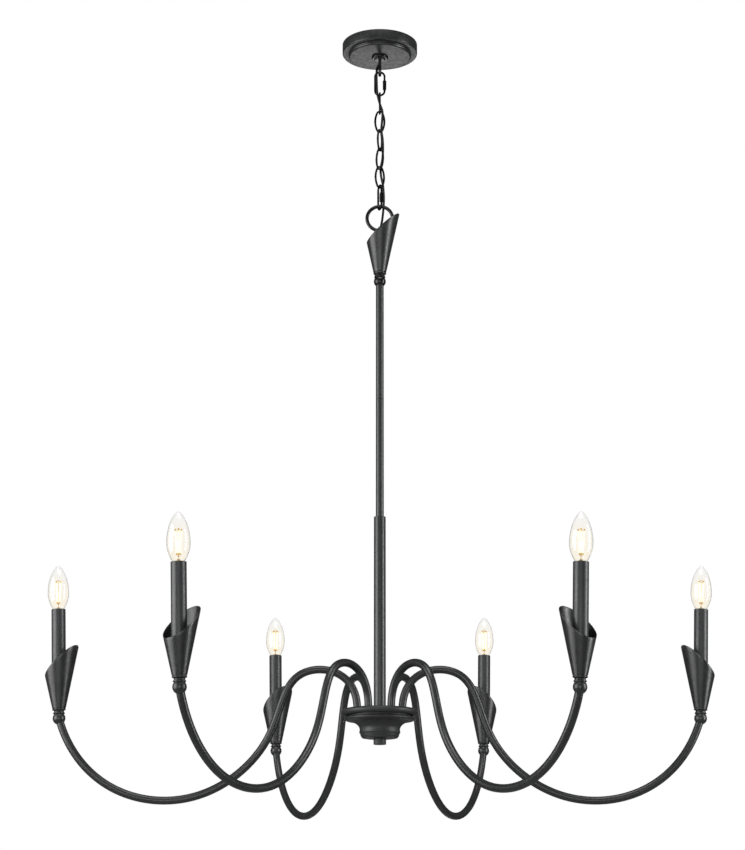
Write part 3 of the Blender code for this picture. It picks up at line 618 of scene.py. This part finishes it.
def chain(enamel):
    """Hang each link from the one above. Returns where the joints are, and the last wire's height."""
    bottom, wire_above = LOOP_BOTTOM_Z, LOOP_WIRE
    joints = []
    order = [("upper_quick_link", "upper", QUICK_LINK_YAWS[0])]
    order += [(f"chain_link_{i + 1}", f"link_{i + 1}", yaw) for i, yaw in enumerate(LINK_YAWS)]
    order += [("lower_quick_link", "lower", QUICK_LINK_YAWS[1])]
    for node, prefix, yaw in order:
        joints.append(bottom)
        top = bottom + wire_above + CHAIN_WIRE + GAP
        place = Matrix.Translation((0, 0, top)) @ turn_about("Z", yaw)
        if "quick" in node:
            piece(f"{node}_wire", quick_link(), enamel, f"{node}_body", node, place)
            piece(f"{node}_hex_sleeve", hex_sleeve(), enamel, f"{prefix}_sleeve_body",
                  f"{node}_sleeve", place @ Matrix.Translation((QUICK_LINK_HALF_WIDTH, 0, 0)), sharp=25.0)
            bottom = top - QUICK_LINK_LENGTH
        else:
            piece(f"{node}_wire", chain_link(), enamel, f"{prefix}_body", node, place)
            bottom = top - LINK_LENGTH
        wire_above = CHAIN_WIRE
    joints.append(bottom)
    return joints


def hanging_ring(gloss, link_bottom):
    """The ring that the last link holds, and its stem down into the top cup."""
    centre = link_bottom + CHAIN_WIRE + RING_WIRE + GAP - RING_RADIUS
    circle = [(x, 0, z) for x, z in arc((0, centre), RING_RADIUS, 90, 450, 96)[:-1]]
    piece("ring", swept(circle, RING_WIRE, 24, cyclic=True, normal=(0, 1, 0)), gloss,
          "fixture", "hanging_ring")
    top, low = centre - RING_RADIUS, TOP_BALL_Z + 0.0040
    outline = [(0, top + 0.0010), (0.0034, top + 0.0006), (0.0050, top - 0.0022), (0.0052, top - 0.0050),
               (0.0045, top - 0.0072), (0.0040, top - 0.0085), (0.0040, low), (0, low)]
    piece("ring_stem", turned(outline, 32), gloss, "fixture", "hanging_ring")


def supply_cord(jacket, joints):
    """The cord in lengths, each of which runs over one joint of the chain."""
    bodies = ["ceiling_mount", "upper_quick_link_body"]
    bodies += [f"link_{i + 1}_body" for i in range(len(LINK_YAWS))]
    bodies += ["lower_quick_link_body", "fixture"]
    route = smooth_route(CORD_ROUTE, 400)
    limits = [(a + b) / 2 for a, b in zip(joints, joints[1:])]
    for k, (upper, lower) in enumerate(zip(bodies, bodies[1:])):
        start = 0 if k == 0 else int(np.argmin(np.abs(route[:, 2] - limits[k - 1])))
        end = len(route) - 1 if k == len(joints) - 1 else int(np.argmin(np.abs(route[:, 2] - limits[k])))
        shape = swept(route[start:end + 1], CORD_RADIUS, 16, normal=(0, 1, 0))
        length = piece(f"supply_cord_{k + 1}", shape, jacket, None, "supply_cord")
        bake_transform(length)


# ---------------------------------------------------------------- coupling and cup

def coupling_outline(low, stem_radius, stem_top):
    """The ball, groove, flange and neck below a cup, from the stem's top down to the ball's lower end."""
    shoulder = [(0, stem_top), (stem_radius - 0.0003, stem_top), (stem_radius, stem_top - 0.0003),
                (stem_radius, NECK_TOP), (NECK_RADIUS + 0.0010, NECK_TOP)]
    neck = arc((NECK_RADIUS + 0.0014, 0.0110), 0.0014, 120, 240, 8)
    flange = arc((0.0088, 0.0080), 0.0009, 90, -90, 8)
    groove = arc((0.0086, 0.0063), 0.0005, 100, 250, 6)
    ball = arc((0, 0), BALL_RADIUS, 33, low, 36)
    return shoulder + neck + flange + groove + ball


def cup_shape(rim_height, rim_rise, steps=96):
    """A rolled cone of sheet cut by a slanted plane, with a rounded lip. Its tip is on the -X side."""
    full = rim_height - CUP_CONE_FOOT
    rows = 14
    half, hole = SHEET / 2, STEM_RADIUS + 0.0012
    side = [(k / rows, 0.0, 0.0) for k in range(rows + 1)]
    lip = [(1.0, half - half * math.cos(math.radians(a)), half * math.sin(math.radians(a)))
           for a in (30, 60, 90, 120, 150)]
    inside = [(k / rows, SHEET, 0.0) for k in range(rows, -1, -1)]
    base_out = arc((CUP_BASE_RADIUS - 0.0016, CUP_FLOOR + 0.0016), 0.0016, -80, 65, 9)
    base_out += [(CUP_BASE_RADIUS - 0.0009, CUP_CONE_FOOT - 0.0003)]
    base_out = [(hole, CUP_FLOOR)] + base_out
    floor = CUP_FLOOR + SHEET
    base_in = [(CUP_BASE_RADIUS - 0.0026, floor + 0.0006), (CUP_BASE_RADIUS - 0.0036, floor), (hole, floor)]
    vertices = []
    for k in range(steps):
        angle = math.tau * k / steps
        rim = (CUP_BASE_RADIUS + CUP_SLOPE * full) / (1 + CUP_SLOPE * rim_rise * math.cos(angle))
        risen = (rim - CUP_BASE_RADIUS) / CUP_SLOPE
        column = base_out[:]
        for share, inset, beyond in side + lip + inside:
            height = risen * share
            column.append((CUP_BASE_RADIUS + CUP_SLOPE * (height + beyond) - inset,
                           CUP_CONE_FOOT + height + beyond))
        column += base_in
        vertices += [(r * math.cos(angle), r * math.sin(angle), z) for r, z in column]
    count = len(vertices) // steps
    faces = []
    for i in range(steps):
        here, there = i * count, ((i + 1) % steps) * count
        for k in range(count):
            following = (k + 1) % count
            faces.append((here + k, there + k, there + following, here + following))
    return vertices, faces


# ---------------------------------------------------------------- downrods, column and hub

def downrods(black, gloss):
    """The top cup on its coupling, the two rods, and the column that covers their lower end."""
    ball = Matrix.Translation((0, 0, TOP_BALL_Z)) @ turn_about("Z", 180)
    piece("top_cup_sheet", cup_shape(*TOP_CUP_RIM), black, "fixture", "top_cup", ball)
    outline = coupling_outline(-48, 0.0043, NECK_TOP + 0.0004)
    flat = outline[-1][1]
    outline += [(0, flat)]
    piece("top_coupling_turned", turned(outline, 64), gloss, "fixture",
          "top_coupling", ball)

    ease, overlap = 0.0004, 0.0020
    ends = {"upper_rod": (TOP_BALL_Z + flat + overlap, ROD_SEAM_Z + GAP / 2),
            "lower_rod": (ROD_SEAM_Z - GAP / 2, COLUMN_TOP_Z - ROD_IN_COLUMN)}
    for node, (top, low) in ends.items():
        tube = [(0, top), (ROD_RADIUS - ease, top), (ROD_RADIUS, top - ease), (ROD_RADIUS, low + ease),
                (ROD_RADIUS - ease, low), (0, low)]
        piece(f"{node}_tube", turned(tube, 48), black, "fixture", node)
    column_edge, column_foot = 0.0008, HUB_Z + 0.0001
    column = [(ROD_RADIUS + GAP, COLUMN_TOP_Z)]
    column += arc((COLUMN_RADIUS - column_edge, COLUMN_TOP_Z - column_edge), column_edge, 90, 0, 5)
    column += [(COLUMN_RADIUS, column_foot), (ROD_RADIUS + GAP, column_foot)]
    piece("column_tube", turned(column, 64, closed=True), black, "fixture", "column")


def hub(black):
    """The plate that the arms stand in, the bowl below it, and the finial."""
    middle = Matrix.Translation((0, 0, HUB_Z))
    half = PLATE_THICKNESS / 2
    plate = [(0, 0)] + arc((PLATE_RADIUS - half, -half), half, 90, -90, 20)
    plate += [(0.0530, -PLATE_THICKNESS), (0, -PLATE_THICKNESS)]
    piece("hub_plate_turned", turned(plate, 128), black, "fixture", "hub_plate", middle)

    top = -PLATE_THICKNESS + 0.0001
    bowl = [(0, top), (0.0510, top), (0.0510, -0.0122), (0.0514, -0.0126), (0.0536, -0.0129)]
    bowl += arc((0.0540, -0.0156), 0.0026, 80, -60, 10)
    bowl += [(0.0548, -0.0183), (0.0525, -0.0187)]
    cove_radius, cove_z, cove_depth, cove_height = 0.0560, -0.0330, 0.0234, 0.0145
    for t in np.radians(range(78, -1, -6)):
        bowl.append((cove_radius - cove_depth * math.cos(t), cove_z + cove_height * math.sin(t)))
    bowl += arc((0.0317, -0.0372), 0.0016, 20, -50, 6)
    bowl += [(0.0318, -0.0396), (0.0316, -0.0410), (0.0312, -0.0413)]
    bowl += arc((0.0300, -0.0425), 0.0011, 40, -50, 6) + [(0.0297, -0.0446)]
    bowl += arc((0.0280, -0.0448), 0.0014, 10, -70, 6) + [(0.0248, -0.0467), (0, FINIAL_TOP + GAP)]
    piece("hub_bowl_turned", turned(bowl, 128), black, "fixture", "hub_bowl", middle)

    finial = [(0, FINIAL_TOP + GAP), (FINIAL_RADIUS - 0.0003, FINIAL_TOP + GAP), (FINIAL_RADIUS, FINIAL_TOP)]
    finial += arc((FINIAL_RADIUS - 0.0008, FINIAL_BOTTOM + 0.0008), 0.0008, 0, -90, 5) + [(0, FINIAL_BOTTOM)]
    piece("finial_turned", turned(finial, 64), black, "fixture", "finial", middle)


# ---------------------------------------------------------------- arms, candles and bulbs

def arm_shape():
    """An arm's tube, from inside the hub to just short of the coupling's ball, in the arm's own plane."""
    end, before = np.array(ARM_GUIDE[-1]), np.array(ARM_GUIDE[-2])
    end_speed = 3 * (len(ARM_GUIDE) - 3) * np.linalg.norm(end - before)
    amounts = np.linspace(0, 1 - ARM_END_SETBACK / end_speed, 130)
    line = [(0.0, 0.0, -FOOT_DEPTH)] + [(reach, 0.0, height) for reach, height in bspline(ARM_GUIDE, amounts)]
    return swept(line, ARM_RADIUS, 28, normal=(0, 1, 0))


def sleeve_shape():
    """The candle sleeve: a tube with a rounded lip."""
    lip = (CANDLE_RADIUS - CANDLE_BORE) / 2
    outline = arc((CANDLE_RADIUS - lip, CANDLE_TOP - lip), lip, 180, 0, 10)
    outline += [(CANDLE_RADIUS, CANDLE_BOTTOM), (CANDLE_BORE, CANDLE_BOTTOM)]
    return turned(outline, 64, closed=True)


def holder_shape():
    """Lamp holder on its long post: a ribbed cup with a hollow for the lamp's base."""
    body = [(0, HOLDER_SEAT), (HOLDER_BORE, HOLDER_SEAT),
            (HOLDER_BORE, HOLDER_TOP - 0.0004), (HOLDER_BORE + 0.0004, HOLDER_TOP),
            (HOLDER_RADIUS - 0.0004, HOLDER_TOP), (HOLDER_RADIUS, HOLDER_TOP - 0.0004),
            (HOLDER_RADIUS, HOLDER_TOP - 0.0040), (HOLDER_RADIUS - 0.0005, HOLDER_TOP - 0.0045),
            (HOLDER_RADIUS - 0.0005, HOLDER_BOTTOM + 0.0008), (HOLDER_RADIUS - 0.0013, HOLDER_BOTTOM),
            (0.0046, HOLDER_BOTTOM - 0.0020), (0.0032, HOLDER_BOTTOM - 0.0040), (0.0032, STEM_TOP + GAP),
            (0, STEM_TOP + GAP)]
    return turned(body, 48)


def holder_shell_shape():
    """The brass screw shell that lines the holder."""
    outer, wall, depth = HOLDER_BORE - 0.00005, 0.00045, 0.0002
    top, low = HOLDER_TOP - 0.0010, HOLDER_SEAT + 0.0004
    shell = [(outer, low), (outer, top)] + threaded(outer - wall, top, low, THREAD_PITCH)
    return turned(shell[::-1], 40, closed=True, ripple=helix_ripple(THREAD_PITCH, depth))


def cup_nut_shape():
    """The hexagonal nut on the stem that clamps the cup."""
    low, corner = CUP_FLOOR + SHEET + GAP, 0.0062
    nut = [(0.0056, low + 0.0034), (corner, low + 0.0029, 1.0), (corner, low + 0.0005, 1.0), (0.0056, low),
           (STEM_RADIUS, low), (STEM_RADIUS, low + 0.0034)]
    return turned(nut, 48, closed=True, ripple=hexagon(corner))


def bulb_outline():
    """Outer side of the clear envelope, from its pointed tip down to the neck in the base."""
    upper = []
    for a in np.linspace(math.pi / 2, 0, 31)[1:]:
        height = BULB_WIDEST + (BULB_TOP - BULB_WIDEST) * math.sin(a)
        over = height - (BULB_TOP - BULB_TIP_RADIUS)
        blunt = math.sqrt(max(BULB_TIP_RADIUS ** 2 - over ** 2, 0.0)) if over > 0 else 0.0
        upper.append((max(BULB_RADIUS * math.cos(a) ** 1.33, blunt), height))
    lower = []
    for t in np.linspace(0, 1, 15)[1:]:
        swell = max(math.cos(t * math.pi / 2), 0.0) ** 0.8
        lower.append((BULB_NECK_RADIUS + (BULB_RADIUS - BULB_NECK_RADIUS) * swell,
                      BULB_WIDEST + (BULB_NECK - BULB_WIDEST) * t))
    return upper + lower


def envelope_shape():
    """A thin-walled envelope, open at the neck, its inner side an even wall away from the outer one."""
    outer = bulb_outline()
    line = np.array([(0, BULB_TOP)] + outer)
    slope = np.gradient(line, axis=0)
    normal = np.column_stack([-slope[:, 1], slope[:, 0]])
    normal /= np.linalg.norm(normal, axis=1)[:, None]
    inner = line - normal * GLASS_WALL
    inner[0] = (0, BULB_TOP - 1.6 * GLASS_WALL)
    inner = [(max(r, 0.0), z) for r, z in inner[::-1]]
    outline = [(0, BULB_TOP)] + outer + inner
    return turned(outline, 56)


def screw_base_shape():
    """The brass screw base, with a rolled edge round the bulb's neck."""
    depth, radius = 0.00035, 0.0059
    top, low = BULB_NECK + 0.0008, SCREW_LOW
    outline = [(0.0062, top + 0.0008), (0.0071, top + 0.0006), (0.0071, top - 0.0004), (radius, top - 0.0014)]
    outline += threaded(radius - depth, top - 0.0018, low + 0.0006, THREAD_PITCH)
    outline += [(radius - 0.0008, low), (0.0, low)]
    return turned([(0, top + 0.0008)] + outline, 40, ripple=helix_ripple(THREAD_PITCH, depth))


def base_tip_shape():
    """The black insulator below the screw base."""
    top = SCREW_LOW + GAP
    return turned([(0, top), (0.0050, top), (0.0030, INSULATOR_LOW), (0, INSULATOR_LOW)], 32)


def contact_shape():
    """The centre contact, a low dome under the insulator."""
    return turned([(0, BULB_BOTTOM + 0.0012), (0.0019, BULB_BOTTOM + 0.0010)]
                  + arc((0.0008, BULB_BOTTOM + 0.0008), 0.0008, 0, -90, 4) + [(0, BULB_BOTTOM)], 24)


def filament_ends(k):
    """Lower and upper end of one filament stick: they splay a little towards the top."""
    angle = math.tau * (k + 0.5) / FILAMENTS
    low_radius, top_radius = FILAMENT_SPREAD
    low = Vector((low_radius * math.cos(angle), low_radius * math.sin(angle), FILAMENT_LOW))
    top = Vector((top_radius * math.cos(angle), top_radius * math.sin(angle), FILAMENT_TOP))
    return low, top


def filaments_shape():
    """The LED filaments: straight sticks."""
    sticks = []
    for k in range(FILAMENTS):
        low, top = filament_ends(k)
        line = [low.lerp(top, t) for t in np.linspace(0, 1, 12)]
        sticks.append(swept(line, FILAMENT_RADIUS, 12))
    return joined(*sticks)


def supports_shape():
    """Gold wires: an end clip on each filament, the wires that tie their tops to a central mast, the mast,
    and the lead-in wires.
    """
    parts = []
    for k in range(FILAMENTS):
        low, top = filament_ends(k)
        axis = (top - low).normalized()
        parts.append(swept([top - axis * 0.0006, top + axis * 0.0024], CLIP_RADIUS, 10))
        parts.append(swept([low - axis * 0.0024, low + axis * 0.0005], CLIP_RADIUS, 10))
        stem_top = Vector((0.0009 * (-1) ** k, 0, GLASS_STEM_TIP))
        middle = (low + stem_top) / 2 - axis * 0.0012
        parts.append(swept([low - axis * 0.0018, middle, stem_top], FINE_WIRE, 8))
        over = top + axis * 0.0014
        parts.append(swept([over, Vector((over.x * 0.45, over.y * 0.45, over.z + 0.0016)),
                            Vector((0, 0, over.z + 0.0020))], FINE_WIRE, 8))
    mast = [(0, 0, GLASS_STEM_TIP), (0, 0, BULB_WIDEST), (0, 0, FILAMENT_TOP + 0.0036)]
    parts.append(swept(mast, MAST_WIRE, 8))
    return joined(*parts)


def stem_shape():
    """The pressed glass stem inside the neck that carries the wires."""
    tip = [(0, GLASS_STEM_TIP + 0.0012)] + arc((0, GLASS_STEM_TIP), 0.0012, 80, 0, 4)
    flare = [(0.0014, 0.1824), (0.0026, 0.1802), (0.0045, 0.1782), (0.0045, 0.1776), (0, 0.1776)]
    return turned(tip + flare, 28)


def arm_places(name):
    """Where an arm's tube starts, and where its candle stands."""
    foot_angle, direction, lift, cup_turn = ARMS[name]
    foot = Matrix.Translation((FOOT_CIRCLE * math.cos(math.radians(foot_angle)),
                               FOOT_CIRCLE * math.sin(math.radians(foot_angle)), HUB_Z))
    swivel = foot @ turn_about("Z", direction) @ turn_about("Y", -lift)
    reach, height = ARM_GUIDE[-1]
    seat = swivel @ Matrix.Translation((reach, 0, height)) @ turn_about("Y", CANDLE_LEAN)
    return swivel, seat, seat @ turn_about("Z", cup_turn)


def arms(black, sleeve, resin, metal, wire, glass, stem, glow):
    """Each arm with its coupling, cup, candle and bulb."""
    coated = "matte_black_steel"
    tube, coupling = arm_shape(), turned(coupling_outline(-90, STEM_RADIUS, STEM_TOP), 64)
    on_arm = (  # piece, shape, finish, slot, node that it stands for
        ("coupling_turned", coupling, black, coated, "coupling"),
        ("cup_sheet", cup_shape(*CANDLE_CUP_RIM), black, coated, "cup"),
        ("cup_nut", cup_nut_shape(), metal, None, None),
        ("sleeve_tube", sleeve_shape(), sleeve, "candle_sleeve", "candle_sleeve"),
        ("holder_body", holder_shape(), resin, "socket_resin", "lamp_holder"),
        ("holder_shell", holder_shell_shape(), metal, None, None),
    )
    on_bulb = (
        ("bulb_glass", envelope_shape(), glass, "clear_glass", "bulb"),
        ("bulb_base", screw_base_shape(), metal, None, None),
        ("bulb_insulator", base_tip_shape(), resin, "socket_resin", None),
        ("bulb_contact", contact_shape(), metal, None, None),
        ("bulb_filaments", filaments_shape(), glow, None, None),
        ("bulb_supports", supports_shape(), wire, None, None),
        ("bulb_stem", stem_shape(), stem, "clear_glass", None),
    )
    for name in ARMS:
        swivel, seat, cup_seat = arm_places(name)
        piece(f"arm_tube_{name}", tube, black, f"arm_{name}_body", f"arm_{name}", swivel)
        for rows, body in ((on_arm, f"arm_{name}_body"), (on_bulb, f"bulb_{name}_body")):
            for prefix, shape, finish, slot, node in rows:
                made = piece(f"{prefix}_{name}", shape, finish, body, f"{node}_{name}" if node else (),
                             cup_seat if prefix == "cup_sheet" else seat)
                if prefix == "bulb_glass":
                    made.visible_shadow = False  # thin clear glass hardly casts one


# ---------------------------------------------------------------- studio

def softbox(name, location, size, power, target=(0, 0, -0.75), spread=180.0):
    """A rectangle of light that faces its target, and that the camera doesn't see."""
    light = bpy.data.lights.new(name, "AREA")
    light.shape = "RECTANGLE"
    light.size, light.size_y = size
    light.energy = power
    light.spread = math.radians(spread)
    obj = bpy.data.objects.new(name, light)
    bpy.context.scene.collection.objects.link(obj)
    obj.location = location
    obj.rotation_euler = (Vector(target) - Vector(location)).to_track_quat("-Z", "Y").to_euler()
    obj.visible_camera = False
    obj.visible_transmission = False
    return obj


def seen_directly(nodes, links):
    """1 for what the camera sees straight on or through glass, 0 for what lights the object."""
    path = nodes.new("ShaderNodeLightPath")
    straight = nodes.new("ShaderNodeMath")
    straight.operation = "MAXIMUM"
    links.new(path.outputs["Is Camera Ray"], straight.inputs[0])
    links.new(path.outputs["Is Transmission Ray"], straight.inputs[1])
    return straight.outputs[0]


def white_world():
    """White behind the object, and a dimmer grey for what lights and reflects in it."""
    world = bpy.data.worlds.new("studio")
    bpy.context.scene.world = world
    world.use_nodes = True
    nodes, links = world.node_tree.nodes, world.node_tree.links
    seen, lit = nodes["Background"], nodes.new("ShaderNodeBackground")
    seen.inputs["Color"].default_value = (1.0, 1.0, 1.0, 1.0)
    seen.inputs["Strength"].default_value = 1.0
    lit.inputs["Color"].default_value = (0.08, 0.08, 0.082, 1.0)
    mix = nodes.new("ShaderNodeMixShader")
    links.new(seen_directly(nodes, links), mix.inputs["Fac"])
    links.new(lit.outputs[0], mix.inputs[1])
    links.new(seen.outputs[0], mix.inputs[2])
    links.new(mix.outputs[0], nodes["World Output"].inputs["Surface"])


def floor():
    """A pale floor well below the object."""
    mesh = bpy.data.meshes.new("floor")
    half, level = 24.0, -3.00
    mesh.from_pydata([(-half, -half, level), (half, -half, level), (half, half, level), (-half, half, level)],
                     [], [(0, 1, 2, 3)])
    finish = Finish("pale_floor", (0.42, 0.42, 0.415), 0.75)
    cloud = finish.noise(1.2, 2.0)
    finish.vary_colour(cloud, (0.40, 0.40, 0.395), (0.44, 0.44, 0.435))
    pale, mix = finish.node("ShaderNodeEmission"), finish.node("ShaderNodeMixShader")
    finish.link(finish.between(cloud, (0.76, 0.76, 0.755), (0.84, 0.84, 0.835)), pale.inputs["Color"])
    finish.link(seen_directly(finish.tree.nodes, finish.tree.links), mix.inputs["Fac"])
    finish.link(finish.shader.outputs[0], mix.inputs[1])
    finish.link(pale.outputs[0], mix.inputs[2])
    finish.link(mix.outputs[0], finish.tree.nodes["Material Output"].inputs["Surface"])
    mesh.materials.append(finish.material)
    obj = bpy.data.objects.new("floor", mesh)
    bpy.context.scene.collection.objects.link(obj)


def camera():
    """A camera a little above the arms, tipped up towards the ceiling."""
    data = bpy.data.cameras.new("camera")
    data.lens = 85.3
    data.shift_x = -0.0086
    data.clip_end = 90.0
    obj = bpy.data.objects.new("camera", data)
    bpy.context.scene.collection.objects.link(obj)
    obj.location = (0.0, -3.275, -1.541)
    obj.rotation_euler = (math.radians(104.52), 0.0, 0.0)
    bpy.context.scene.camera = obj


def studio():
    """White world, pale floor, five soft lights and the camera."""
    white_world()
    floor()
    softbox("key_left", (-2.40, -1.05, -0.70), (2.2, 2.4), 90.0)
    softbox("rim_right", (2.65, -0.75, -0.65), (0.8, 2.5), 66.0)
    softbox("top", (0.0, -1.2, 2.3), (2.4, 1.6), 66.0)
    softbox("low_back", (0.0, 4.6, -2.15), (4.0, 1.4), 1.15, (0, 0, -0.02), spread=26.0)
    softbox("front", (-0.3, -4.5, -1.3), (3.0, 1.6), 54.0)
    camera()
    bpy.context.scene.view_settings.view_transform = "Standard"


def main():
    """Make every piece from the ceiling down, then the studio."""
    black, gloss = satin_black(), gloss_black()
    ceiling_mount(zinc_plate())
    canopy(black)
    collar(gloss)
    joints = chain(chain_black())
    hanging_ring(gloss, joints[-1])
    supply_cord(cord_jacket(), joints)
    downrods(black, gloss)
    hub(textured_black())
    arms(black, sleeve_black(), black_resin(), brass(), gold_wire(), clear_glass(), clear_stem(),
         glowing_phosphor())
    studio()


main()
